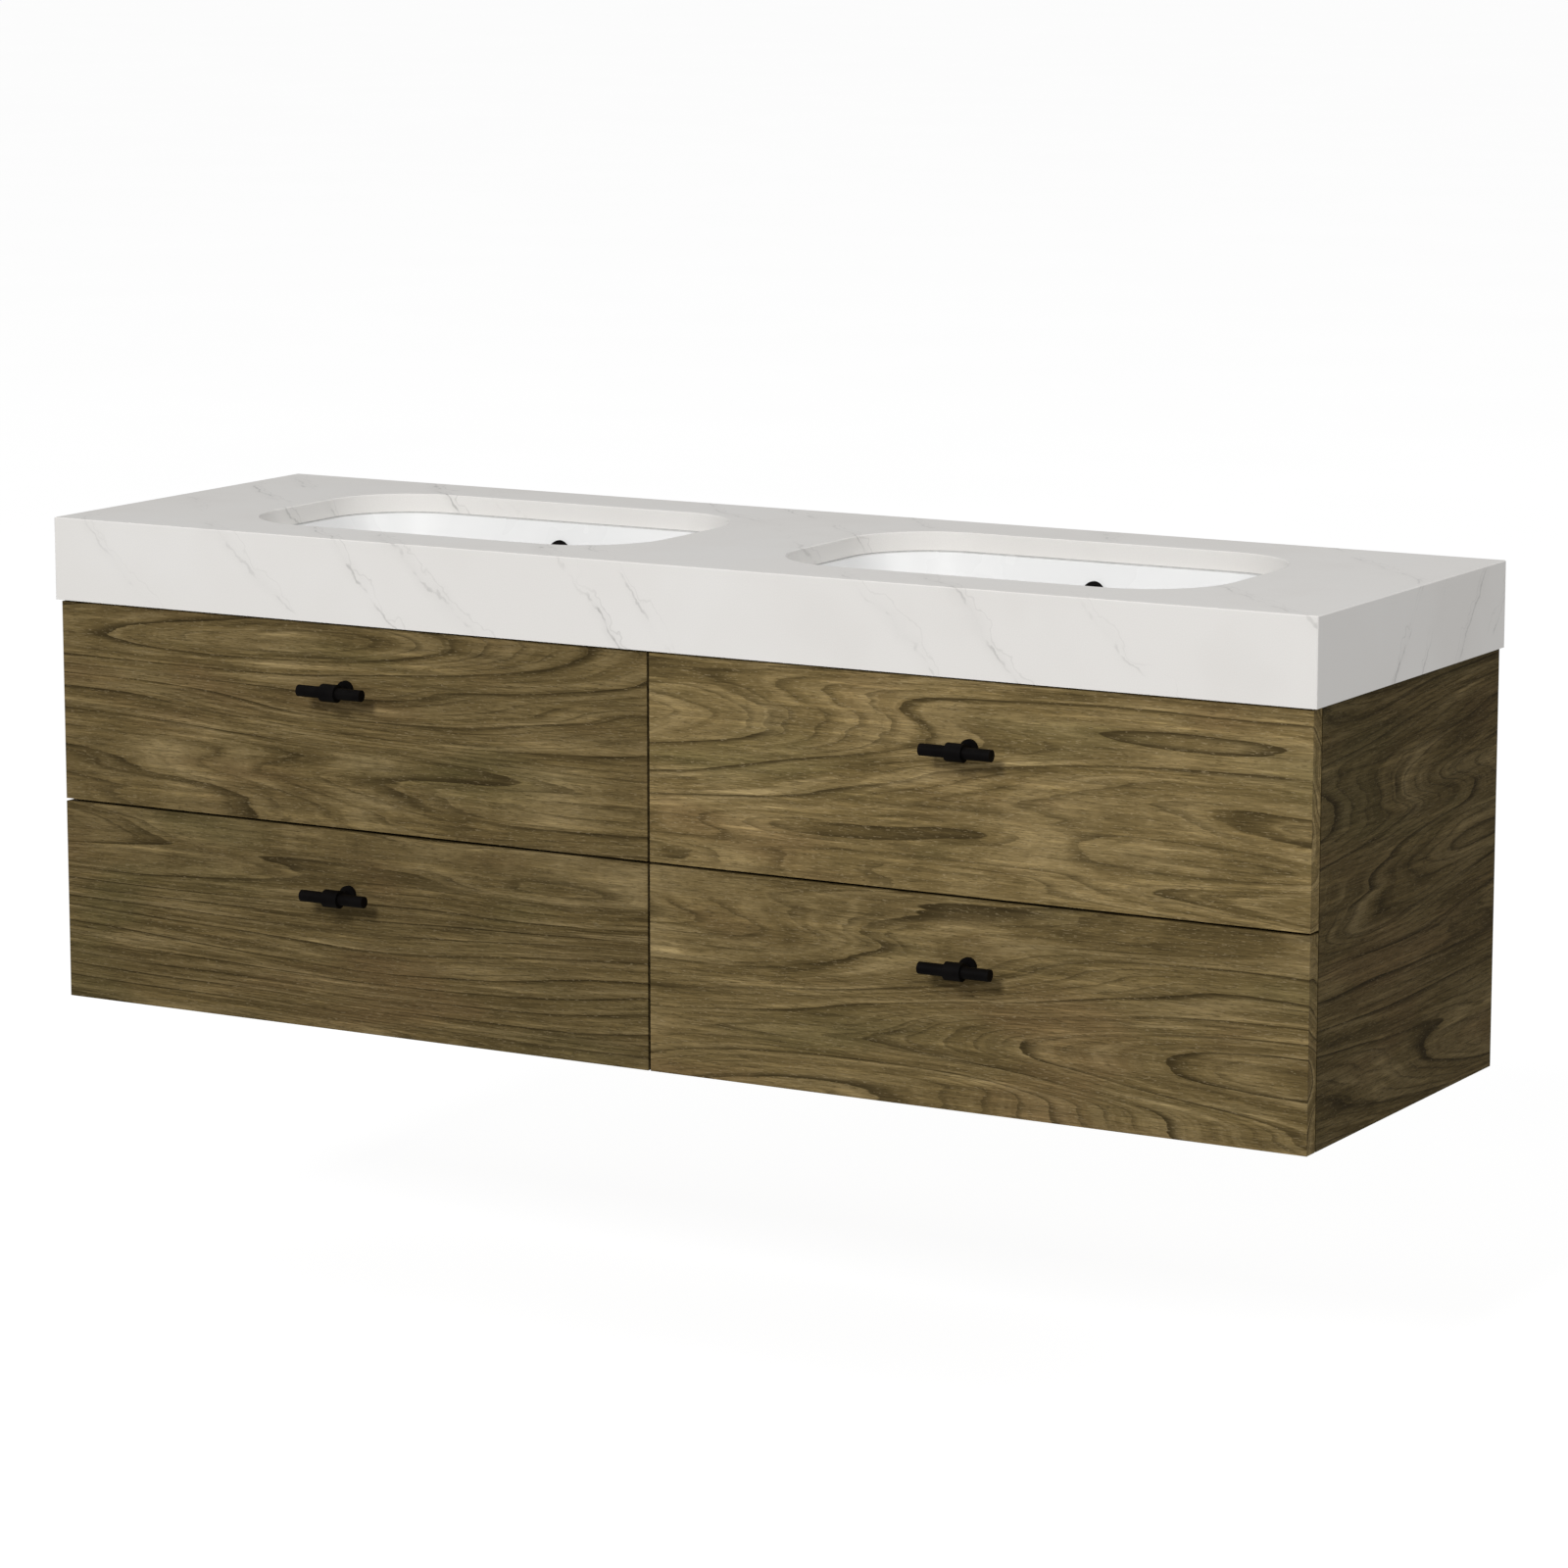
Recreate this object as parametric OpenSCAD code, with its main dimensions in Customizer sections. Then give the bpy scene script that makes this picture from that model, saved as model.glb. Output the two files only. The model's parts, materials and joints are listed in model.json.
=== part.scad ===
// Wall-hung double vanity: a mitred stone countertop with two undermount basins on a
// cabinet with four drawers. X runs left to right, the front faces -Y, the wall is the
// plane y = 0 and Z is up. The origin is the middle of the four wall screws.

/* [Countertop] */
// Width of the countertop, left to right
top_w = 1500; // [1400:10:1900]
// Depth of the countertop, wall to front
top_d = 460; // [440:5:600]
// Height of the mitred edge that hides the battens
apron_h = 90; // [75:1:120]
// Thickness of the stone slab and of its edge strips
stone_t = 20; // [15:1:25]
// How far the stone stands past the cabinet's sides and drawer fronts
overhang = 5; // [2:1:20]
// Width of the chamfer that eases the stone's visible edges
edge_ease = 1; // [0.5:0.5:4]

/* [Cabinet] */
// Height of the cabinet under the stone
cab_h = 440; // [430:5:600]
// Thickness of the cabinet's panels
panel_t = 18; // [15:1:22]
// Height of the front rail over the upper drawers
front_rail_h = 50; // [30:5:60]
// Height of the rail between the upper and lower drawers
middle_rail_h = 24; // [16:1:24]
// Height of the upper rail that hangs on the wall
hanging_rail_h = 100; // [80:5:120]
// Height of the lower rail
lower_rail_h = 84; // [60:2:100]
// Thickness of the battens under the slab
batten_t = 18; // [15:1:30]

/* [Wall screws] */
// Distance between the left and right screws
wall_screw_x = 1200; // [600:50:1300]
// Diameter of the holes for the wall screws
wall_hole_d = 9; // [6:0.5:12]

/* [Drawers] */
// Thickness of the drawer fronts
front_t = 19; // [16:1:22]
// Gap between neighbouring fronts
front_gap = 3; // [2:0.5:4]
// Gap between the stone and the upper fronts
top_gap = 2; // [2:0.5:4]
// Gap between the fronts and the cabinet's front edge
bumper_gap = 2; // [1:0.5:3]
// Thickness of the drawer sides and backs
box_t = 14; // [12:1:16]
// Thickness of the drawer bottoms
box_floor_t = 10; // [6:1:12]
// Height of the upper drawer boxes
upper_box_h = 90; // [80:5:95]
// Height of the lower drawer boxes
lower_box_h = 150; // [100:5:160]
// Height of a drawer box's underside over the lower edge of its front
box_lift = 32; // [24:1:40]
// Space left behind a drawer box
box_back_gap = 46; // [40:1:80]
// Width of the recess for the waste in the upper drawers
recess_w = 140; // [110:5:200]
// Distance from the middle of the waste to the front of the recess
recess_reach = 70; // [60:5:90]

/* [Runners] */
// Space between the cabinet and a drawer side
runner_gap = 13; // [12.5:0.5:14]
// Height of a runner's cabinet member
runner_h = 45; // [40:1:50]
// Thickness of the runner's steel
runner_steel = 1.2; // [1:0.1:1.5]
// Running clearance between the members
runner_play = 1; // [0.8:0.1:1.2]

/* [Handles] */
// Length of the cross bar
bar_l = 80; // [60:5:200]
// Diameter of the cross bar
bar_d = 12.5; // [10:0.5:16]
// Distance from the front to the axis of the bar
bar_reach = 30; // [24:1:40]
// Diameter of the rosette and of the sleeve round the bar
sleeve_d = 19; // [16:0.5:24]
// Length of the sleeve
sleeve_l = 19; // [12:1:30]
// Thickness of the rosette
rosette_t = 4; // [2:0.5:6]
// Diameter of the neck between rosette and sleeve
neck_d = 9; // [7:0.5:12]
// Distance from a front's upper edge to its handle
handle_drop = 68; // [40:1:110]

/* [Basins] */
// Distance from the middle of the countertop to a basin's middle
basin_x = 330; // [300:5:400]
// Width of a basin's cut-out in the stone
basin_w = 498; // [400:2:520]
// Depth of the cut-out, front to back
basin_d = 302; // [240:2:330]
// Corner radius of the cut-out
basin_r = 96; // [88:1:120]
// Distance from the countertop's front to the cut-out
basin_front = 77; // [70:1:110]
// Visible lip of the basin inside the cut-out
basin_lip = 5; // [0:0.5:6]
// Depth of the bowl below its rim
bowl_depth = 128; // [100:1:130]
// How far the bowl's walls lean in from rim to floor
bowl_lean = 64; // [40:1:66]
// Radius between the bowl's wall and floor
bowl_fillet = 14; // [8:1:14]
// Thickness of the ceramic
ceramic_t = 9; // [7:0.5:12]
// Width of the rim that is glued under the stone
rim_w = 20; // [15:1:24]
// Thickness of the silicone seal under the stone
seal_t = 1.5; // [1:0.5:3]

/* [Wastes] */
// Diameter of the tail that the trap fits on
tail_d = 32; // [30:0.5:40]
// Length of the tail
tail_l = 40; // [30:1:50]
// Diameter of the waste's threaded body
waste_d = 44; // [40:0.5:46]
// Diameter of the waste's flange
flange_d = 64; // [58:1:70]
// Thickness of the flange
flange_t = 3; // [2:0.5:4]
// Diameter of the plug
plug_d = 60; // [54:1:66]
// Thickness of the plug
plug_t = 6; // [4:0.5:10]
// Outer diameter of the overflow ring
overflow_d = 24; // [20:1:28]
// Height of the overflow ring's middle below the basin's rim
overflow_drop = 29.5; // [24:0.5:40]

/* [Hidden] */
drawer_nodes = ["front", "sides", "back", "bottom", "midrunner", "runner", "bar", "post", "screw"];
$fn = 64;
stone = "whitesmoke";
walnut = "#76633f";
birch = "#d8c39a";
ceramic = "white";
black = "#151313";
steel = "silver";
eps = 1;

// Heights, from the cabinet's underside
counter_z = cab_h + apron_h;
slab_z = counter_z - stone_t;
rim_z = slab_z - seal_t;
upper_screw_z = cab_h - hanging_rail_h / 2;
lower_screw_z = panel_t + lower_rail_h / 2;
datum_z = (upper_screw_z + lower_screw_z) / 2;

// Plan
half_w = top_w / 2;
cab_half_w = half_w - overhang;
inner_half_w = cab_half_w - panel_t;
front_y = -top_d + overhang;
cab_front_y = front_y + front_t + bumper_gap;
opening_w = inner_half_w - panel_t / 2;
opening_x = panel_t / 2 + opening_w / 2;

// Drawers: the box reaches from the back of its front to the space behind it
front_w = cab_half_w - front_gap / 2;
front_h = (cab_h - top_gap - front_gap) / 2;
front_x = front_gap / 2 + front_w / 2;
middle_rail_z = front_h + front_gap / 2;
box_w = opening_w - 2 * runner_gap;
box_front_y = front_y + front_t;
box_back_y = -box_back_gap;
runner_front_y = cab_front_y + eps;
runner_back_y = box_back_y;

// Basins: the drain and the overflow duct sit under the bowl's floor
basin_y = -top_d + basin_front + basin_d / 2;
bowl_w = basin_w - 2 * basin_lip;
bowl_d = basin_d - 2 * basin_lip;
bowl_r = basin_r - basin_lip;
shell_depth = bowl_depth + ceramic_t;
shell_lean = bowl_lean * shell_depth / bowl_depth;
rim_t = ceramic_t + eps;
dish_h = 4;
dish_d = 150;
duct_w = 44;
duct_h = 18;
duct_wall = 6;
drain_d = waste_d + 1;
floor_z = rim_z - bowl_depth;
dish_z = floor_z - dish_h;
under_z = rim_z - shell_depth - duct_h;
boss_d = flange_d + 12;
lean_angle = atan(bowl_lean / bowl_depth);
overflow_hole_d = overflow_d - 6;
overflow_inset = bowl_lean * overflow_drop / bowl_depth;
overflow_y = basin_y + bowl_d / 2 - overflow_inset;
overflow_lip = 3.5;

// Front edge of the recess for the waste in an upper drawer
recess_y = basin_y - recess_reach;

// Wastes
nut_d = flange_d - 4;
nut_h = 10;
thread_l = nut_h + 6;
waste_bore_d = tail_d - 4;
hub_d = 14;
hub_h = 10;
hub_drop = 30;
spoke_t = 3;
stem_d = 8;
stem_play = 0.4;
plug_lift = 0.4;

// Fixings
clip_w = 24;
clip_t = 3;
clip_screw_d = 4;
clip_inset = 70;
clip_hook = 10;
clip_foot = 8;
screw_d = 4;
screw_head_d = 8;
screw_head_h = 2.4;
thread_depth = 12;
fit_gap = 0.1;

// A box between two opposite corners, placed from the middle of the wall screws
module block(low, high) {
    translate([low.x, low.y, low.z - datum_z]) cube(high - low);
}

// Moves its children to a height over the cabinet's underside
module at(x, y, z) {
    translate([x, y, z - datum_z]) children();
}

module rounded_outline(w, d, r) {
    square([w - 2 * r, d], center = true);
    square([w, d - 2 * r], center = true);
    for (x = [-1, 1], y = [-1, 1]) translate([x * (w / 2 - r), y * (d / 2 - r)]) circle(r);
}

// Half section of a leaning wall, from the corner's axis out to the wall
module bowl_section(r, depth, lean, fillet) {
    slope = norm([lean, depth]);
    fillet_x = r - ((depth - fillet) * lean + fillet * slope) / depth;
    foot = [fillet_x + fillet * depth / slope, fillet - depth - fillet * lean / slope];
    polygon([[0, 0], [r, 0], foot, [fillet_x, -depth], [0, -depth]]);
    intersection() {
        translate([fillet_x, fillet - depth]) circle(fillet);
        translate([0, -depth]) square([r, depth]);
    }
}

// Takes a half section round a rounded outline: four turned corners, straight runs between
module taken_round(w, d, r, depth) {
    long = w - 2 * r;
    wide = d - 2 * r;
    for (x = [-1, 1], y = [-1, 1]) translate([x * long / 2, y * wide / 2, 0])
        rotate_extrude() children();
    for (x = [0, 1]) mirror([x, 0, 0]) translate([long / 2, wide / 2, 0]) rotate([90, 0, 0])
        linear_extrude(wide) children();
    for (y = [0, 1]) mirror([0, y, 0]) translate([-long / 2, wide / 2, 0])
        rotate([90, 0, 90]) linear_extrude(long) children();
    translate([-long / 2, -wide / 2, -depth]) cube([long, wide, depth]);
}

// A tub with leaning walls and a fillet round its floor
module tub(w, d, r, depth, lean, fillet) {
    taken_round(w, d, r, depth) bowl_section(r, depth, lean, fillet);
}

// A profile in Y and Z, run along X over the whole width
module along_x(points) {
    translate([-half_w, 0, -datum_z]) rotate([90, 0, 90]) linear_extrude(top_w) polygon(points);
}

// A profile in X and Z, run along Y from the front to the wall
module along_y(points) {
    translate([0, 0, -datum_z]) rotate([90, 0, 0]) linear_extrude(top_d) polygon(points);
}

// The slab's mitres run from the middle of each eased edge down to the apron's inner face
module countertop_slab() {
    mitre_x = half_w - edge_ease / 2;
    mitre_y = edge_ease / 2 - top_d;
    mitre_z = counter_z - edge_ease / 2;
    color(stone) difference() {
        intersection() {
            along_y([[edge_ease - half_w, counter_z], [half_w - edge_ease, counter_z],
                [mitre_x, mitre_z], [half_w - stone_t, slab_z], [stone_t - half_w, slab_z],
                [-mitre_x, mitre_z]]);
            along_x([[edge_ease - top_d, counter_z], [0, counter_z], [0, slab_z],
                [stone_t - top_d, slab_z], [mitre_y, mitre_z]]);
        }
        for (side = [-1, 1]) at(side * basin_x, basin_y, counter_z) {
            translate([0, 0, -stone_t - eps]) linear_extrude(stone_t + eps)
                rounded_outline(basin_w, basin_d, basin_r);
            translate([0, 0, eps]) taken_round(basin_w, basin_d, basin_r, eps)
                eased_mouth(basin_r);
        }
    }
}

// Half section of the chamfer round a cut-out, from above the slab down to its wall
module eased_mouth(r) {
    reach = r + edge_ease + eps;
    polygon([[0, 0], [reach, 0], [r, -edge_ease - eps], [0, -edge_ease - eps]]);
}

module apron_front() {
    color(stone) intersection() {
        along_x([[-top_d, cab_h], [-top_d, counter_z - edge_ease],
            [edge_ease / 2 - top_d, counter_z - edge_ease / 2], [stone_t - top_d, slab_z],
            [stone_t - top_d, cab_h]]);
        at(0, 0, cab_h) linear_extrude(apron_h) polygon([[edge_ease - half_w, -top_d],
            [half_w - edge_ease, -top_d], [half_w - edge_ease / 2, edge_ease / 2 - top_d],
            [half_w - stone_t, stone_t - top_d], [stone_t - half_w, stone_t - top_d],
            [edge_ease / 2 - half_w, edge_ease / 2 - top_d]]);
    }
}

module apron_side(side) {
    color(stone) mirror([side < 0 ? 1 : 0, 0, 0]) intersection() {
        along_y([[half_w, cab_h], [half_w, counter_z - edge_ease],
            [half_w - edge_ease / 2, counter_z - edge_ease / 2], [half_w - stone_t, slab_z],
            [half_w - stone_t, cab_h]]);
        at(0, 0, cab_h) linear_extrude(apron_h) polygon([[half_w, edge_ease - top_d],
            [half_w, 0], [half_w - stone_t, 0], [half_w - stone_t, stone_t - top_d],
            [half_w - edge_ease / 2, edge_ease / 2 - top_d]]);
    }
}

module buildup_battens() {
    inner_w = half_w - stone_t;
    front_in = stone_t - top_d;
    color(birch) {
        block([-inner_w, front_in, cab_h], [inner_w, front_in + batten_t, slab_z]);
        block([-inner_w, -batten_t, cab_h], [inner_w, 0, slab_z]);
        block([-batten_t / 2, front_in + batten_t + eps, cab_h],
            [batten_t / 2, -batten_t - eps, slab_z]);
    }
}

module basin(side) {
    color(ceramic) at(side * basin_x, basin_y, rim_z) difference() {
        union() {
            translate([0, 0, -rim_t]) linear_extrude(rim_t)
                rounded_outline(basin_w + 2 * rim_w, basin_d + 2 * rim_w, basin_r + rim_w);
            tub(bowl_w + 2 * ceramic_t, bowl_d + 2 * ceramic_t, bowl_r + ceramic_t,
                shell_depth, shell_lean, bowl_fillet);
            translate([0, 0, under_z - rim_z]) cylinder(h = duct_h + eps, d = boss_d);
            overflow_duct(0);
        }
        difference() {
            overflow_duct(duct_wall);
            tub(bowl_w + 2 * ceramic_t, bowl_d + 2 * ceramic_t, bowl_r + ceramic_t,
                shell_depth, shell_lean, bowl_fillet);
        }
        tub(bowl_w, bowl_d, bowl_r, bowl_depth, bowl_lean, bowl_fillet);
        translate([0, 0, dish_z - rim_z]) cylinder(h = dish_h, d1 = flange_d + eps, d2 = dish_d);
        translate([0, 0, under_z - rim_z - eps]) cylinder(h = shell_depth, d = drain_d);
        overflow_axis() translate([0, 0, -2 * ceramic_t]) cylinder(h = 3 * ceramic_t, d = overflow_hole_d);
    }
}

// The duct behind the bowl and under its floor, whole or hollow by a wall
module overflow_duct(wall) {
    back = bowl_d / 2 + ceramic_t + rim_w / 2;
    deep = under_z - rim_z;
    low_back = overflow_y - basin_y - duct_h;
    translate([wall - duct_w / 2, low_back, deep + wall])
        cube([duct_w - 2 * wall, back - low_back - wall, -deep - wall - rim_t]);
    translate([wall - duct_w / 2, 0, deep + wall])
        cube([duct_w - 2 * wall, back - wall, duct_h - wall]);
}

// The overflow's axis, square to the bowl's back wall, from the basin's own middle
module overflow_axis() {
    translate([0, overflow_y - basin_y, -overflow_drop]) rotate([90 - lean_angle, 0, 0]) children();
}

module basin_seals() {
    seal_w = rim_w - eps;
    color("gainsboro") for (side = [-1, 1]) at(side * basin_x, basin_y, rim_z)
        linear_extrude(seal_t) difference() {
            rounded_outline(basin_w + 2 * seal_w, basin_d + 2 * seal_w, basin_r + seal_w);
            rounded_outline(basin_w + eps, basin_d + eps, basin_r + eps / 2);
        }
}

module overflow_rings() {
    tube_l = 2 * ceramic_t;
    tube_d = overflow_hole_d - 2 * fit_gap;
    bore_d = tube_d - 4;
    color(black) for (side = [-1, 1]) at(side * basin_x, basin_y, rim_z) overflow_axis()
        difference() {
            union() {
                cylinder(h = overflow_lip, d = overflow_d);
                translate([0, 0, eps - ceramic_t]) cylinder(h = ceramic_t, d = tube_d);
            }
            translate([0, 0, -tube_l]) cylinder(h = 2 * tube_l, d = bore_d);
        }
}

// Each clip hooks under the rim and is screwed up into the slab
module at_clips() {
    rim_half_d = basin_d / 2 + rim_w;
    for (side = [-1, 1], x = [-1, 1], y = [0, 1])
        at(side * basin_x + x * (basin_w / 2 - basin_r - clip_inset), basin_y, slab_z)
            mirror([0, y, 0]) translate([0, rim_half_d, 0]) children();
}

module basin_clips() {
    drop = rim_t + seal_t;
    color(steel) at_clips() difference() {
        union() {
            translate([-clip_w / 2, -clip_hook, -drop - clip_t])
                cube([clip_w, clip_hook + eps + clip_t, clip_t]);
            translate([-clip_w / 2, eps, -drop - clip_t]) cube([clip_w, clip_t, drop + clip_t]);
            translate([-clip_w / 2, eps, -clip_t]) cube([clip_w, clip_t + clip_foot, clip_t]);
        }
        translate([0, eps + clip_t + clip_foot / 2, -2 * clip_t])
            cylinder(h = 3 * clip_t, d = clip_screw_d + 2 * fit_gap);
    }
}

module clip_screws() {
    color(steel) at_clips() translate([0, eps + clip_t + clip_foot / 2, -clip_t - screw_head_h]) {
        cylinder(h = screw_head_h, d = clip_foot - eps);
        cylinder(h = screw_head_h + clip_t, d = clip_screw_d);
    }
}

module waste_bodies() {
    flange_top = dish_z + flange_t;
    thread_z = under_z - thread_l;
    color(black) for (side = [-1, 1]) at(side * basin_x, basin_y, 0) {
        difference() {
            union() {
                translate([0, 0, dish_z]) cylinder(h = flange_t, d = flange_d);
                translate([0, 0, thread_z]) cylinder(h = dish_z - thread_z + eps, d = waste_d);
                translate([0, 0, thread_z - tail_l]) cylinder(h = tail_l + eps, d = tail_d);
            }
            translate([0, 0, thread_z - tail_l - eps])
                cylinder(h = flange_top - thread_z + tail_l + 2 * eps, d = waste_bore_d);
        }
        difference() {
            union() {
                translate([0, 0, flange_top - hub_drop]) cylinder(h = hub_h, d = hub_d);
                for (turn = [0, 120, 240]) rotate([0, 0, turn])
                    translate([0, -spoke_t / 2, flange_top - hub_drop])
                        cube([waste_bore_d / 2 + eps, spoke_t, hub_h]);
            }
            translate([0, 0, flange_top - hub_drop - eps])
                cylinder(h = hub_h + 2 * eps, d = stem_d + 2 * stem_play);
        }
    }
}

module waste_nuts() {
    color(black) for (side = [-1, 1]) at(side * basin_x, basin_y, under_z - nut_h) difference() {
        cylinder(h = nut_h, d = nut_d);
        translate([0, 0, -eps]) cylinder(h = nut_h + 2 * eps, d = waste_d + fit_gap);
    }
}

module plug(side) {
    flange_top = dish_z + flange_t;
    color(black) at(side * basin_x, basin_y, flange_top + plug_lift) {
        cylinder(h = plug_t, d = plug_d);
        translate([0, 0, -hub_drop - hub_h / 2]) cylinder(h = hub_drop + hub_h / 2 + eps, d = stem_d);
    }
}

module side_panel(side) {
    color(walnut) mirror([side < 0 ? 1 : 0, 0, 0])
        block([inner_half_w, cab_front_y, 0], [cab_half_w, 0, cab_h]);
}

module partition() {
    color(walnut) block([-panel_t / 2, cab_front_y + panel_t, panel_t], [panel_t / 2, -panel_t, cab_h]);
}

module bottom_panel() {
    color(walnut) block([-inner_half_w, cab_front_y, 0], [inner_half_w, 0, panel_t]);
}

// Rail across the cabinet's front, between two heights
module cross_rail(low, high) {
    color(walnut) block([-inner_half_w, cab_front_y, low],
        [inner_half_w, cab_front_y + panel_t, high]);
}

// Wall rail with a pair of screw holes, between two heights
module wall_rail(low, high, hole_z) {
    color(birch) difference() {
        block([-inner_half_w, -panel_t, low], [inner_half_w, 0, high]);
        for (side = [-1, 1]) at(side * wall_screw_x / 2, eps, hole_z)
            rotate([90, 0, 0]) cylinder(h = panel_t + 2 * eps, d = wall_hole_d);
    }
}

// A channel along Y: its web towards -X at depth near, its lips reaching to depth far
module channel(near, far, h, front, back, open_out) {
    difference() {
        translate([near, front, -h / 2]) cube([far - near, back - front, h]);
        translate([open_out ? near + runner_steel : near - eps, front - eps, runner_steel - h / 2])
            cube([far - near - runner_steel + eps, back - front + 2 * eps, h - 2 * runner_steel]);
    }
}

// Puts a runner, drawn from the cabinet's wall at x = 0 inwards, at one side of an opening
module at_runner(column, z, side) {
    at(column * opening_x + side * opening_w / 2, 0, z) mirror([side > 0 ? 1 : 0, 0, 0]) children();
}

// Height of a drawer's front and box, for the upper (1) or lower (0) row
function row_z(row) = row * (front_h + front_gap);
function box_z(row) = row_z(row) + box_lift;
function box_h(row) = row > 0 ? upper_box_h : lower_box_h;
function runner_z(row) = box_z(row) + box_h(row) / 2;

module cabinet_runners() {
    depth = runner_gap - 3 * runner_steel;
    color(steel) for (column = [-1, 1], row = [0, 1], side = [-1, 1])
        at_runner(column, runner_z(row), side)
            channel(0, depth, runner_h, runner_front_y, runner_back_y, true);
}

module drawer_midrunner(column, row) {
    near = runner_steel + runner_play;
    far = runner_gap - runner_steel - runner_play;
    h = runner_h - 2 * runner_steel - 2 * runner_play;
    color(steel) for (side = [-1, 1]) at_runner(column, runner_z(row), side)
        channel(near, far, h, runner_front_y, runner_back_y, true);
}

module drawer_runner(column, row) {
    near = 2 * runner_steel + 2 * runner_play;
    h = runner_h - 4 * runner_steel - 4 * runner_play;
    color(steel) for (side = [-1, 1]) at_runner(column, runner_z(row), side)
        channel(near, runner_gap, h, runner_front_y, runner_back_y, false);
}

module drawer_front(column, row) {
    left = column * front_x - front_w / 2;
    z = row_z(row);
    color(walnut) difference() {
        block([left, front_y, z], [left + front_w, box_front_y, z + front_h]);
        at(column * front_x, front_y - eps, z + front_h - handle_drop)
            rotate([-90, 0, 0]) cylinder(h = front_t + 2 * eps, d = screw_d + 1);
    }
}

module drawer_sides(column, row) {
    z = box_z(row);
    color(birch) for (side = [-1, 1]) {
        outer = column * opening_x + side * box_w / 2;
        inner = outer - side * box_t;
        block([min(inner, outer), box_front_y, z], [max(inner, outer), box_back_y, z + box_h(row)]);
    }
}

module drawer_bottom(column, row) {
    half = box_w / 2 - box_t;
    x = column * opening_x;
    z = box_z(row);
    color(birch) difference() {
        block([x - half, box_front_y, z], [x + half, box_back_y, z + box_floor_t]);
        if (row > 0) block([column * basin_x - recess_w / 2, recess_y, z - eps],
            [column * basin_x + recess_w / 2, eps, z + box_floor_t + eps]);
    }
}

// The back, which in an upper drawer folds forward round the recess
module drawer_back(column, row) {
    half = box_w / 2 - box_t;
    x = column * opening_x;
    low = box_z(row) + box_floor_t;
    high = box_z(row) + box_h(row);
    recess_x = column * basin_x;
    wall_x = recess_w / 2 + box_t;
    color(birch) difference() {
        union() {
            block([x - half, box_back_y - box_t, low], [x + half, box_back_y, high]);
            if (row > 0) block([recess_x - wall_x, recess_y - box_t, low],
                [recess_x + wall_x, box_back_y, high]);
        }
        if (row > 0) block([recess_x - recess_w / 2, recess_y, low - eps],
            [recess_x + recess_w / 2, eps, high + eps]);
    }
}

// Puts a handle, drawn along +Z out of the front, on a drawer
module at_handle(column, row) {
    at(column * front_x, front_y, row_z(row) + front_h - handle_drop) rotate([90, 0, 0]) children();
}

module handle_bar(column, row) {
    color(black) at_handle(column, row) translate([-bar_l / 2, 0, bar_reach])
        rotate([0, 90, 0]) cylinder(h = bar_l, d = bar_d);
}

module handle_post(column, row) {
    color(black) at_handle(column, row) difference() {
        union() {
            cylinder(h = rosette_t, d = sleeve_d);
            cylinder(h = bar_reach, d = neck_d);
            translate([-sleeve_l / 2, 0, bar_reach]) rotate([0, 90, 0]) cylinder(h = sleeve_l, d = sleeve_d);
        }
        translate([-sleeve_l, 0, bar_reach]) rotate([0, 90, 0])
            cylinder(h = 2 * sleeve_l, d = bar_d + fit_gap);
        translate([0, 0, -eps]) cylinder(h = thread_depth + eps, d = screw_d + fit_gap);
    }
}

module handle_screw(column, row) {
    color(steel) at_handle(column, row) {
        translate([0, 0, -front_t - screw_head_h]) cylinder(h = screw_head_h, d = screw_head_d);
        translate([0, 0, -front_t - eps]) cylinder(h = front_t + thread_depth, d = screw_d);
    }
}

// One piece of a drawer, chosen by name
module drawer_piece(piece, column, row) {
    if (piece == "front") drawer_front(column, row);
    if (piece == "sides") drawer_sides(column, row);
    if (piece == "back") drawer_back(column, row);
    if (piece == "bottom") drawer_bottom(column, row);
    if (piece == "midrunner") drawer_midrunner(column, row);
    if (piece == "runner") drawer_runner(column, row);
    if (piece == "bar") handle_bar(column, row);
    if (piece == "post") handle_post(column, row);
    if (piece == "screw") handle_screw(column, row);
}

countertop_slab();
apron_front();
apron_side(-1);  // apron_left
apron_side(1);  // apron_right
buildup_battens();
basin(-1);  // basin_left
basin(1);  // basin_right
basin_seals();
basin_clips();
clip_screws();
overflow_rings();
waste_bodies();
waste_nuts();
plug(-1);  // plug_left
plug(1);  // plug_right
side_panel(-1);  // side_left
side_panel(1);  // side_right
partition();
bottom_panel();
cross_rail(cab_h - front_rail_h, cab_h);  // front_rail
cross_rail(middle_rail_z - middle_rail_h / 2, middle_rail_z + middle_rail_h / 2);  // middle_rail
wall_rail(cab_h - hanging_rail_h, cab_h, upper_screw_z);  // hanging_rail
wall_rail(panel_t, panel_t + lower_rail_h, lower_screw_z);  // lower_rail
cabinet_runners();
for (piece = drawer_nodes) {
    drawer_piece(piece, -1, 1);
    drawer_piece(piece, 1, 1);
    drawer_piece(piece, -1, 0);
    drawer_piece(piece, 1, 0);
}
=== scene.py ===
"""Looks for a wall-hung double vanity: stone, walnut, glazed ceramic and black metal."""

import json
import math

import bpy
from mathutils import Matrix, Vector


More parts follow.
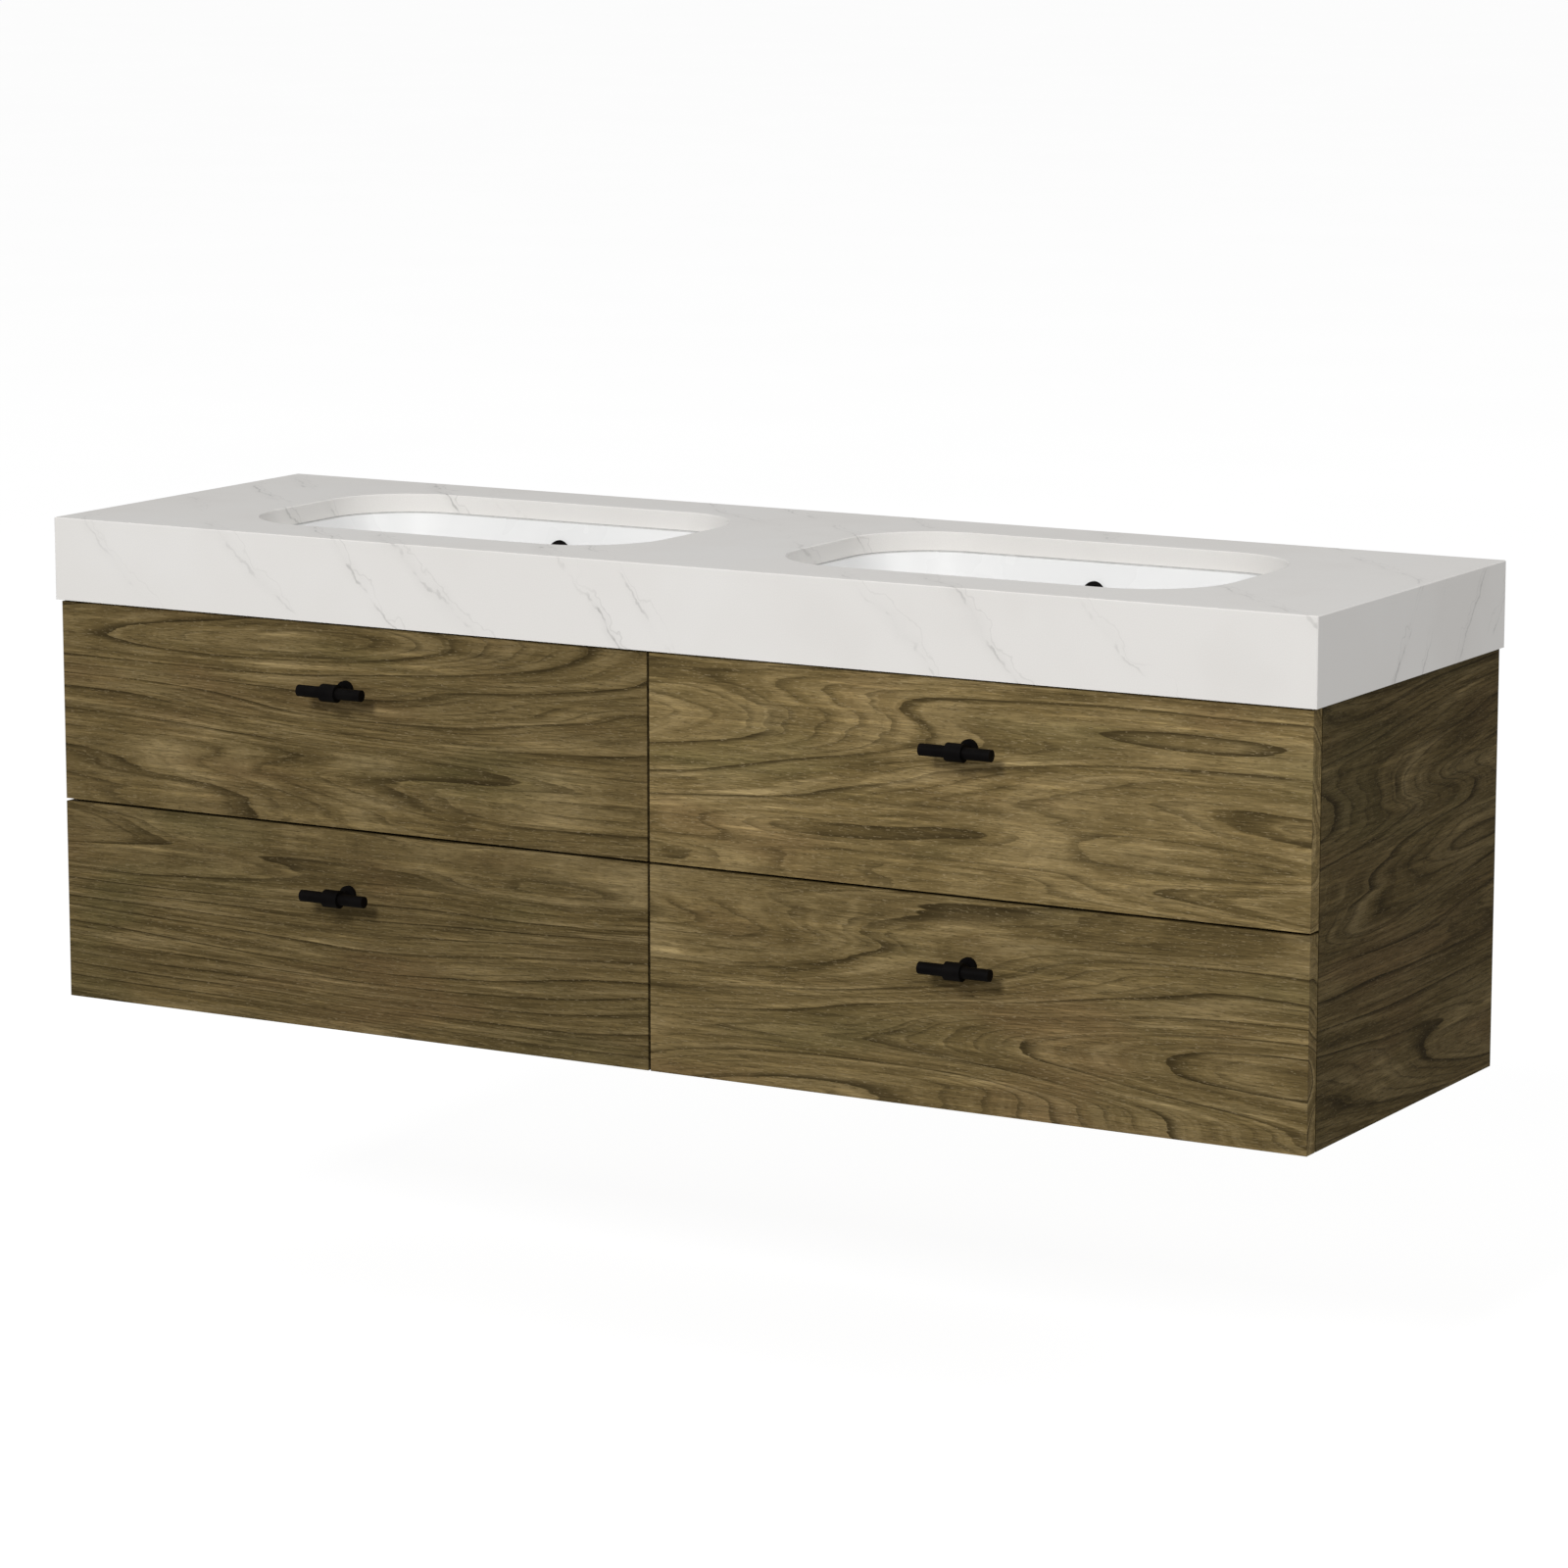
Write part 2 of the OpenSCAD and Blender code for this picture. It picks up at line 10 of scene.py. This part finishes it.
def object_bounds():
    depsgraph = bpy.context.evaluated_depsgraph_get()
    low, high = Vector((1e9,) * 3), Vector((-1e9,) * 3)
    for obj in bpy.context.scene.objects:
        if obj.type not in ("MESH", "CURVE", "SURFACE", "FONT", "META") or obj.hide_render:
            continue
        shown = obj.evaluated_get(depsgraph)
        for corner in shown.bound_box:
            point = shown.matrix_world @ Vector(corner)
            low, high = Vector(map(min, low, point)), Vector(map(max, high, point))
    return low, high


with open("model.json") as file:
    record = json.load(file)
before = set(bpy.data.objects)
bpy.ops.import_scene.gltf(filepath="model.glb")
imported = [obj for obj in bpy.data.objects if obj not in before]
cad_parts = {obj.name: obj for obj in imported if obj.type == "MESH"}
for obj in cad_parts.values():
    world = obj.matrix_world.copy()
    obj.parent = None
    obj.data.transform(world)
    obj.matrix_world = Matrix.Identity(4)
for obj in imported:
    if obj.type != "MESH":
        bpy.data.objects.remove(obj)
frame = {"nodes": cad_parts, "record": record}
bpy.context.view_layer.update()
cad_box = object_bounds()

MM = 0.001
UP = (0.0, 0.0, 1.0)
PLY_PAIRS_PER_METRE = 360.0
RINGS_PER_METRE = 25.0
LINES_PER_RING = 4.3
VEIN_HALF_WIDTH, HALO_HALF_WIDTH, CRACK_HALF_WIDTH = 3.2 * MM, 20.0 * MM, 2.2 * MM
CRACK_OFFSET = 12.0 * MM  # a hairline crack runs this far beside its vein
nodes = frame["nodes"]
slots = {part["node"]: part["material_slot"] for part in frame["record"]["subparts"]}
underside = cad_box[0][2]


# ---------------------------------------------------------------- node trees


class Shader:
    """Node tree of one material; every method adds a node and returns its output."""

    def __init__(self, name):
        self.material = bpy.data.materials.new(name)
        self.material.use_nodes = True
        self.tree = self.material.node_tree
        self.surface = self.tree.nodes["Principled BSDF"]

    def add(self, kind, inputs, output=0, **settings):
        node = self.tree.nodes.new(kind)
        for key, value in settings.items():
            setattr(node, key, value)
        for key, value in inputs.items():
            self.put(node.inputs[key], value)
        return node.outputs[output]

    def put(self, socket, value):
        if isinstance(value, bpy.types.NodeSocket):
            self.tree.links.new(value, socket)
        else:
            socket.default_value = value

    def finish(self, **inputs):
        """Sets the surface's sockets, named with underscores for spaces."""
        for key, value in inputs.items():
            self.put(self.surface.inputs[key.replace("_", " ")], value)
        return self.material

    def place(self):
        return self.add("ShaderNodeTexCoord", {}, "Object")

    def math(self, operation, a, b=0.0):
        return self.add("ShaderNodeMath", {0: a, 1: b}, operation=operation)

    def scaled(self, vector, scale):
        return self.add("ShaderNodeVectorMath", {0: vector, 1: scale}, operation="MULTIPLY")

    def dot(self, vector, direction):
        return self.add(
            "ShaderNodeVectorMath", {0: vector, 1: direction}, "Value", operation="DOT_PRODUCT"
        )

    def noise(self, vector, scale=1.0, detail=2.0, roughness=0.5, distortion=0.0):
        inputs = {
            "Vector": vector,
            "Scale": scale,
            "Detail": detail,
            "Roughness": roughness,
            "Distortion": distortion,
        }
        return self.add("ShaderNodeTexNoise", inputs)

    def fade(self, value, start, end, low=0.0, high=1.0):
        """Smooth step from low at start to high at end."""
        inputs = {"Value": value, "From Min": start, "From Max": end, "To Min": low, "To Max": high}
        return self.add("ShaderNodeMapRange", inputs, interpolation_type="SMOOTHSTEP")

    def ramp(self, value, stops):
        """Colours along a value, eased from stop to stop."""
        node = self.tree.nodes.new("ShaderNodeValToRGB")
        node.color_ramp.interpolation = "EASE"
        while len(node.color_ramp.elements) < len(stops):
            node.color_ramp.elements.new(0.5)
        for element, (position, colour) in zip(node.color_ramp.elements, stops):
            element.position = position
            element.color = (*colour, 1.0)
        self.put(node.inputs[0], value)
        return node.outputs[0]

    def mix(self, amount, a, b, blend="MIX"):
        """Mixes two colours; a plain tuple is a colour of three numbers."""
        node = self.tree.nodes.new("ShaderNodeMix")
        node.data_type = "RGBA"
        node.blend_type = blend
        a, b = ((*c, 1.0) if isinstance(c, tuple) else c for c in (a, b))
        self.put(node.inputs["Factor"], amount)
        self.put(node.inputs["A"], a)
        self.put(node.inputs["B"], b)
        return node.outputs["Result"]

    def bump(self, height, strength, distance):
        inputs = {"Height": height, "Strength": strength, "Distance": distance}
        return self.add("ShaderNodeBump", inputs)


def grey(value):
    return (value, value, value)


# ---------------------------------------------------------------- materials


def walnut(name, seed, along, tone):
    """Crown-cut walnut veneer: long loops of growth lines over fibres, pores and flecks."""
    s = Shader(name)
    turn = math.radians(90) if along == "y" else 0.0
    inputs = {"Vector": s.place(), "Location": seed, "Rotation": (0.0, 0.0, turn)}
    wood = s.add("ShaderNodeMapping", inputs)

    def tinted(red, green, blue):
        return (red * tone, green * tone, blue * tone)

    bright = tinted(0.352, 0.262, 0.124)
    light = tinted(0.243, 0.177, 0.078)
    middle = tinted(0.166, 0.118, 0.048)
    shade = tinted(0.102, 0.072, 0.028)
    line = tinted(0.050, 0.035, 0.014)
    russet = tinted(0.186, 0.120, 0.053)
    olive = tinted(0.134, 0.111, 0.044)

    # growth lines are contours of a slowly waving sheet, so that they close into long loops
    across = s.dot(wood, (0.0, 0.4, 1.0))
    sway = s.noise(s.scaled(wood, (0.85, 5.0, 7.8)), detail=1.0, roughness=0.3)
    wave = s.noise(s.scaled(wood, (2.5, 16.0, 26.0)), detail=1.0, roughness=0.4)
    jitter = s.noise(s.scaled(wood, (14.0, 90.0, 230.0)), detail=2.0)
    sheet = s.math("MULTIPLY", across, RINGS_PER_METRE)
    sheet = s.math("ADD", sheet, s.math("MULTIPLY", sway, 15.0))
    sheet = s.math("ADD", sheet, s.math("MULTIPLY", wave, 1.3))
    sheet = s.math("ADD", sheet, s.math("MULTIPLY", jitter, 0.07))
    ring = s.math("FRACT", sheet)
    fine = s.math("FRACT", s.math("MULTIPLY", sheet, LINES_PER_RING))

    # soft layers run along the same contours, while streaks and fibres run straight
    layer = s.add("ShaderNodeCombineXYZ", {0: sheet, 1: s.dot(wood, (2.2, 0.0, 0.0))})
    layers = s.noise(layer, scale=2.1, detail=5.0, roughness=0.66)
    cloud = s.noise(s.scaled(wood, (2.4, 6.0, 11.0)), detail=2.0)
    hue = s.noise(s.scaled(wood, (3.4, 9.0, 12.0)), detail=2.0, distortion=0.4)
    streak = s.noise(s.scaled(wood, (6.0, 60.0, 190.0)), detail=4.0, roughness=0.65)
    fibre = s.noise(s.scaled(wood, (34.0, 420.0, 760.0)), detail=3.0, roughness=0.65)

    body = s.ramp(
        ring,
        [(0.0, middle), (0.08, light), (0.36, middle), (0.78, middle), (0.94, shade), (1.0, shade)],
    )
    layered = s.ramp(layers, [(0.37, shade), (0.47, middle), (0.55, light), (0.65, bright)])
    colour = s.mix(s.fade(cloud, 0.36, 0.62, 0.15, 0.50), layered, body)
    colour = s.mix(s.fade(hue, 0.52, 0.72, 0.0, 0.60), colour, russet)
    colour = s.mix(s.fade(hue, 0.47, 0.28, 0.0, 0.45), colour, olive)

    # each growth line is thin, shaded on one side, and comes and goes along its length
    presence = s.noise(s.scaled(wood, (5.5, 18.0, 26.0)), detail=2.0)
    drawn = s.math("MULTIPLY", s.fade(ring, 0.84, 0.985), s.fade(ring, 1.0, 0.99))
    drawn = s.math("MULTIPLY", drawn, s.fade(presence, 0.36, 0.58, 0.22, 0.92))
    colour = s.mix(drawn, colour, line)
    thin = s.math("MULTIPLY", s.fade(fine, 0.70, 0.97), s.fade(fine, 1.0, 0.98))
    thin = s.math("MULTIPLY", thin, s.fade(presence, 0.62, 0.44, 0.12, 0.52))
    colour = s.mix(thin, colour, line)
    hair = s.noise(s.scaled(wood, (3.0, 120.0, 420.0)), detail=2.0, roughness=0.5)
    hair = s.fade(s.math("ABSOLUTE", s.math("SUBTRACT", hair, 0.5)), 0.0, 0.018, 0.30, 0.0)
    colour = s.mix(hair, colour, line)

    grain = s.ramp(fibre, [(0.28, grey(0.70)), (0.5, grey(1.0)), (0.72, grey(1.34))])
    colour = s.mix(1.0, colour, grain, "MULTIPLY")
    band = s.ramp(streak, [(0.25, grey(0.62)), (0.5, grey(0.97)), (0.75, grey(1.48))])
    colour = s.mix(1.0, colour, band, "MULTIPLY")
    pore = s.noise(s.scaled(wood, (110.0, 900.0, 1600.0)), detail=1.0)
    pores = s.fade(pore, 0.60, 0.72, 0.0, 0.60)
    colour = s.mix(pores, colour, line)
    fleck = s.noise(s.scaled(wood, (150.0, 700.0, 1100.0)), detail=1.0)
    colour = s.mix(s.fade(fleck, 0.63, 0.73, 0.0, 0.45), colour, tinted(0.36, 0.28, 0.155))

    height = s.math("SUBTRACT", fibre, s.math("MULTIPLY", pores, 0.8))
    return s.finish(
        Base_Color=colour,
        Roughness=s.fade(fibre, 0.2, 0.8, 0.66, 0.50),
        Specular_IOR_Level=0.02,
        Normal=s.bump(height, 0.25, 0.25 * MM),
    )


def stone(name, lean, veins):
    """White marble: a few broken grey veins, each on its own plane, all leaning the same way."""
    s = Shader(name)
    place = s.place()
    drift = s.noise(s.scaled(place, (2.6, 2.6, 2.6)), detail=2.0)
    shake = s.noise(s.scaled(place, (21.0, 21.0, 21.0)), detail=4.0, roughness=0.62)
    through = s.dot(place, lean)
    through = s.math("ADD", through, s.math("MULTIPLY", s.math("SUBTRACT", drift, 0.5), 0.16))
    through = s.math("ADD", through, s.math("MULTIPLY", s.math("SUBTRACT", shake, 0.5), 0.045))
    patch = s.noise(s.scaled(place, (9.0, 9.0, 9.0)), detail=2.0)
    gaps = s.noise(s.scaled(place, (34.0, 34.0, 34.0)), detail=2.0, roughness=0.6)
    breaks = s.math("MULTIPLY", s.fade(patch, 0.36, 0.50), s.fade(gaps, 0.42, 0.58, 0.04, 1.0))
    branch = s.math("MULTIPLY", s.math("SUBTRACT", gaps, 0.5), 0.05)
    branched = s.math("ADD", through, branch)

    main, halo, crack = 0.0, 0.0, 0.0
    for plane, strength in veins:
        away = s.math("ABSOLUTE", s.math("SUBTRACT", through, plane))
        main = s.math("ADD", main, s.fade(away, 0.5 * MM, VEIN_HALF_WIDTH, strength, 0.0))
        halo = s.math("ADD", halo, s.fade(away, 0.0, HALO_HALF_WIDTH, strength, 0.0))
        away = s.math("ABSOLUTE", s.math("SUBTRACT", branched, plane + CRACK_OFFSET))
        crack = s.math("ADD", crack, s.fade(away, 0.0, CRACK_HALF_WIDTH, strength, 0.0))
    main = s.math("MULTIPLY", main, breaks)
    halo = s.math("MULTIPLY", halo, s.fade(patch, 0.38, 0.60))
    crack = s.math("MULTIPLY", crack, s.fade(patch, 0.34, 0.50))
    cloud = s.noise(s.scaled(place, (5.0, 5.0, 5.0)), detail=3.0, roughness=0.55)

    colour = s.ramp(
        cloud,
        [(0.3, (0.765, 0.743, 0.713)), (0.5, (0.790, 0.770, 0.741)), (0.72, (0.806, 0.789, 0.763))],
    )
    colour = s.mix(s.math("MULTIPLY", halo, 0.20), colour, (0.56, 0.545, 0.525))
    colour = s.mix(s.math("MULTIPLY", crack, 0.36), colour, (0.46, 0.445, 0.425))
    colour = s.mix(s.math("MULTIPLY", main, 0.58), colour, (0.34, 0.33, 0.315))
    crystal = s.noise(place, scale=900.0, detail=2.0)
    grain = s.ramp(crystal, [(0.3, grey(0.98)), (0.7, grey(1.015))])
    colour = s.mix(1.0, colour, grain, "MULTIPLY")
    return s.finish(
        Base_Color=colour,
        Roughness=s.fade(cloud, 0.3, 0.7, 0.42, 0.34),
        Specular_IOR_Level=0.3,
        Normal=s.bump(crystal, 0.04, 0.05 * MM),
    )


def ceramic():
    """Glazed white fireclay: a glossy coat over a body that is not quite even."""
    s = Shader("glazed_ceramic")
    place = s.place()
    cloud = s.noise(place, scale=9.0, detail=3.0)
    speck = s.noise(place, scale=1400.0, detail=1.0)
    ripple = s.noise(place, scale=34.0, detail=2.0)
    colour = s.ramp(cloud, [(0.3, (0.795, 0.796, 0.791)), (0.7, (0.825, 0.825, 0.820))])
    colour = s.mix(s.fade(speck, 0.70, 0.80, 0.0, 0.10), colour, (0.70, 0.69, 0.66))
    return s.finish(
        Base_Color=colour,
        Roughness=s.fade(cloud, 0.3, 0.7, 0.26, 0.32),
        Specular_IOR_Level=0.35,
        Coat_Weight=0.18,
        Coat_Roughness=0.08,
        Normal=s.bump(ripple, 0.06, 0.4 * MM),
    )


def black_metal():
    """Matt black powder coat with its fine orange-peel texture."""
    s = Shader("black_powder_coat")
    place = s.place()
    peel = s.noise(place, scale=1900.0, detail=2.0)
    cloud = s.noise(place, scale=60.0, detail=2.0)
    colour = s.ramp(cloud, [(0.3, (0.0022, 0.0017, 0.0016)), (0.7, (0.0038, 0.0031, 0.0029))])
    return s.finish(
        Base_Color=colour,
        Roughness=s.fade(peel, 0.25, 0.75, 0.46, 0.60),
        Specular_IOR_Level=0.05,
        Normal=s.bump(peel, 0.18, 0.06 * MM),
    )


def steel():
    """Zinc-plated steel, drawn along its length, with a faint bloom."""
    s = Shader("zinc_steel")
    place = s.place()
    drawn = s.noise(s.scaled(place, (900.0, 12.0, 900.0)), detail=3.0)
    bloom = s.noise(place, scale=22.0, detail=4.0)
    colour = s.ramp(bloom, [(0.3, (0.55, 0.555, 0.565)), (0.7, (0.62, 0.62, 0.615))])
    return s.finish(
        Base_Color=colour,
        Metallic=1.0,
        Roughness=s.fade(drawn, 0.2, 0.8, 0.24, 0.44),
        Normal=s.bump(drawn, 0.12, 0.04 * MM),
    )


def birch(name, through, grain, bent=False):
    """Birch plywood: calm faces, and on its edges the plies, stacked along one axis.

    A bent board turns corners, so every upright surface of it is a face.
    """
    s = Shader(name)
    place = s.place()
    stretch = {"x": (8.0, 90.0, 90.0), "y": (90.0, 8.0, 90.0)}[grain]
    depth = {"x": (1.0, 0.0, 0.0), "y": (0.0, 1.0, 0.0), "z": (0.0, 0.0, 1.0)}[through]
    figure = s.noise(s.scaled(place, stretch), scale=0.35, detail=4.0, distortion=0.5)
    fibre = s.noise(s.scaled(place, stretch), scale=6.0, detail=3.0)
    face = s.ramp(
        figure,
        [(0.3, (0.60, 0.44, 0.26)), (0.5, (0.68, 0.52, 0.33)), (0.72, (0.74, 0.59, 0.40))],
    )
    face = s.mix(s.fade(fibre, 0.55, 0.75, 0.0, 0.22), face, (0.48, 0.33, 0.18))
    ply = s.math("FRACT", s.math("MULTIPLY", s.dot(place, depth), PLY_PAIRS_PER_METRE))
    edge = s.ramp(
        ply,
        [
            (0.0, (0.60, 0.45, 0.28)),
            (0.46, (0.64, 0.49, 0.31)),
            (0.54, (0.36, 0.24, 0.13)),
            (1.0, (0.42, 0.29, 0.17)),
        ],
    )
    edge = s.mix(s.fade(fibre, 0.5, 0.8, 0.0, 0.35), edge, (0.30, 0.20, 0.11))
    normal = s.add("ShaderNodeNewGeometry", {}, "Normal")
    facing = s.math("ABSOLUTE", s.dot(normal, UP if bent else depth))
    on_face = s.fade(facing, 0.5, 0.8)
    if bent:
        on_face = s.math("SUBTRACT", 1.0, on_face)
    return s.finish(
        Base_Color=s.mix(on_face, edge, face),
        Roughness=s.fade(fibre, 0.3, 0.7, 0.42, 0.55),
        Normal=s.bump(fibre, 0.12, 0.1 * MM),
    )


def silicone():
    """Grey sealant, smoothed by hand."""
    s = Shader("silicone_seal")
    tooled = s.noise(s.place(), scale=160.0, detail=2.0)
    colour = s.ramp(tooled, [(0.3, (0.47, 0.465, 0.455)), (0.7, (0.55, 0.545, 0.535))])
    return s.finish(
        Base_Color=colour,
        Roughness=s.fade(tooled, 0.3, 0.7, 0.32, 0.45),
        Normal=s.bump(tooled, 0.2, 0.2 * MM),
    )


def floor_paint():
    """Pale backdrop paint with a glow of its own, so that the shadow on it stays faint."""
    s = Shader("pale_floor")
    mottle = s.noise(s.place(), scale=1.5, detail=3.0)
    return s.finish(
        Base_Color=s.ramp(mottle, [(0.3, grey(0.235)), (0.7, grey(0.245))]),
        Roughness=0.9,
        Specular_IOR_Level=0.0,
        Emission_Color=(1.0, 1.0, 1.0, 1.0),
        Emission_Strength=0.87,
    )


# ---------------------------------------------------------------- dressing the CAD nodes

# each vein: the dot product of place and lean all over its plane, then its strength
LEAN = (1.0, 1.0, 1.0)
VEINS = (
    (-0.86, 0.3),
    (-0.67, 0.4),
    (-0.53, 0.8),
    (-0.45, 0.6),
    (-0.27, 1.0),
    (-0.20, 0.6),
    (0.11, 0.5),
    (0.21, 0.7),
    (0.36, 0.4),
    (0.58, 0.5),
    (0.86, 0.5),
)
END_LEAN = (1.0, -1.3, 1.0)
END_VEINS = ((1.34, 1.0), (1.25, 0.9), (1.12, 0.6), (1.04, 1.0), (-0.10, 0.6), (-0.33, 0.9))

shared = {
    "stone": stone("stone_marble", LEAN, VEINS),
    "ceramic": ceramic(),
    "black_metal": black_metal(),
    "steel": steel(),
    "silicone": silicone(),
}

# where in the log each board is cut from, which way its grain runs and how dark it is
BOARDS = {
    "ul_front": ((3.1, 0.0, 0.9), "x", 0.80),
    "ur_front": ((7.4, 0.0, 2.3), "x", 1.10),
    "ll_front": ((26.7, 0.0, 6.3), "x", 0.70),
    "lr_front": ((17.9, 0.0, 5.6), "x", 0.89),
    # the right side is toned darker than its lighting makes it: partly a darker veneer sheet,
    # partly painted shade standing in for the sheen that the fronts catch and the side does not
    "side_right": ((23.0, 0.0, 7.7), "y", 0.51),
    "side_left": ((29.0, 0.0, 9.2), "y", 0.66),
    "bottom_panel": ((34.0, 0.0, 11.1), "x", 0.62),
    "front_rail": ((39.0, 0.0, 12.8), "x", 0.62),
    "middle_rail": ((48.0, 0.0, 13.4), "x", 0.62),
    "partition": ((44.0, 0.0, 14.6), "y", 0.62),
}

plywood = {
    "sides": birch("birch_sides", "x", "y"),
    "back": birch("birch_back", "y", "x", bent=True),
    "bottom": birch("birch_bottom", "z", "x"),
    "rail": birch("birch_rail", "y", "x"),
}

end_stone = stone("stone_marble_ends", END_LEAN, END_VEINS)

# how many millimetres wide the softened edges are, by material slot
EDGES = {"ceramic": 2.0, "black_metal": 0.6, "walnut": 0.5, "birch": 0.8}
HARD_EDGE = math.radians(35.0)  # faces that meet at more than this have a hard edge


def material_of(node):
    kind = slots[node]
    if node in ("apron_left", "apron_right"):
        return end_stone
    if node in BOARDS:
        return walnut("walnut_" + node, *BOARDS[node])
    if kind == "birch":
        return plywood.get(node.split("_")[1], plywood["rail"])
    return shared[kind]


def soften(obj, width):
    """Rounds the hard edges a little, so that they catch the light."""
    bevel = obj.modifiers.new("soft_edges", "BEVEL")
    bevel.width = width * MM
    bevel.segments = 2
    bevel.limit_method = "ANGLE"
    bevel.angle_limit = HARD_EDGE
    bevel.harden_normals = True


for node, obj in nodes.items():
    for slot in obj.material_slots:
        slot.material = material_of(node)
    kind = slots[node]
    if kind in EDGES:
        soften(obj, EDGES[kind])

# ---------------------------------------------------------------- stage, light, camera

FLOOR_DROP = 0.32  # the cabinet hangs this far over the floor
FLOOR_HALF = 150.0  # large enough for its far edge to lie near the horizon
AMBIENT, BACKDROP = 0.43, 0.97  # the studio's even light, and the wall seen past the floor
LIT_POINT = (0.0, -0.3, 0.1)  # where both lamps aim, inside the cabinet
LENS, SENSOR = 127.46025, 36.0  # focal length and picture width, both in millimetres
CAMERA = Vector((2.920, -5.244, 1.063))
AZIMUTH, ELEVATION = math.radians(29.95), math.radians(9.98)


def add_floor():
    half = FLOOR_HALF
    z = underside - FLOOR_DROP
    mesh = bpy.data.meshes.new("floor")
    corners = [(-half, -half, z), (half, -half, z), (half, half, z), (-half, half, z)]
    mesh.from_pydata(corners, [], [(0, 1, 2, 3)])
    mesh.materials.append(floor_paint())
    floor = bpy.data.objects.new("floor", mesh)
    bpy.context.scene.collection.objects.link(floor)
    floor.visible_diffuse = False
    floor.visible_glossy = False


def add_area(name, place, width, height, power):
    light = bpy.data.lights.new(name, "AREA")
    light.shape = "RECTANGLE"
    light.size = width
    light.size_y = height
    light.energy = power
    lamp = bpy.data.objects.new(name, light)
    bpy.context.scene.collection.objects.link(lamp)
    aim = (Vector(LIT_POINT) - Vector(place)).to_track_quat("-Z", "Y")
    lamp.matrix_world = Matrix.Translation(place) @ aim.to_matrix().to_4x4()


def add_world():
    world = bpy.data.worlds.new("studio")
    bpy.context.scene.world = world
    world.use_nodes = True
    tree = world.node_tree
    ambient = tree.nodes["Background"]
    backdrop = tree.nodes.new("ShaderNodeBackground")
    for light, strength in ((ambient, AMBIENT), (backdrop, BACKDROP)):
        light.inputs["Color"].default_value = (1.0, 1.0, 1.0, 1.0)
        light.inputs["Strength"].default_value = strength
    # only what is seen past the floor's far edge is the bright backdrop
    seen = tree.nodes.new("ShaderNodeLightPath")
    both = tree.nodes.new("ShaderNodeMixShader")
    tree.links.new(seen.outputs["Is Camera Ray"], both.inputs[0])
    tree.links.new(ambient.outputs[0], both.inputs[1])
    tree.links.new(backdrop.outputs[0], both.inputs[2])
    tree.links.new(both.outputs[0], tree.nodes["World Output"].inputs["Surface"])


def add_camera():
    data = bpy.data.cameras.new("camera")
    data.sensor_width = SENSOR
    data.lens = LENS
    data.clip_end = 400.0
    camera = bpy.data.objects.new("camera", data)
    bpy.context.scene.collection.objects.link(camera)
    turn = Matrix.Rotation(AZIMUTH, 4, "Z") @ Matrix.Rotation(math.radians(90) - ELEVATION, 4, "X")
    camera.matrix_world = Matrix.Translation(CAMERA) @ turn
    bpy.context.scene.camera = camera


add_floor()
add_world()
add_area("key", (1.2, -10.6, 6.1), 2.6, 2.2, 825.0)
add_area("fill", (6.5, -0.9, 6.1), 5.0, 5.0, 135.0)
add_camera()
bpy.context.scene.view_settings.view_transform = "Standard"
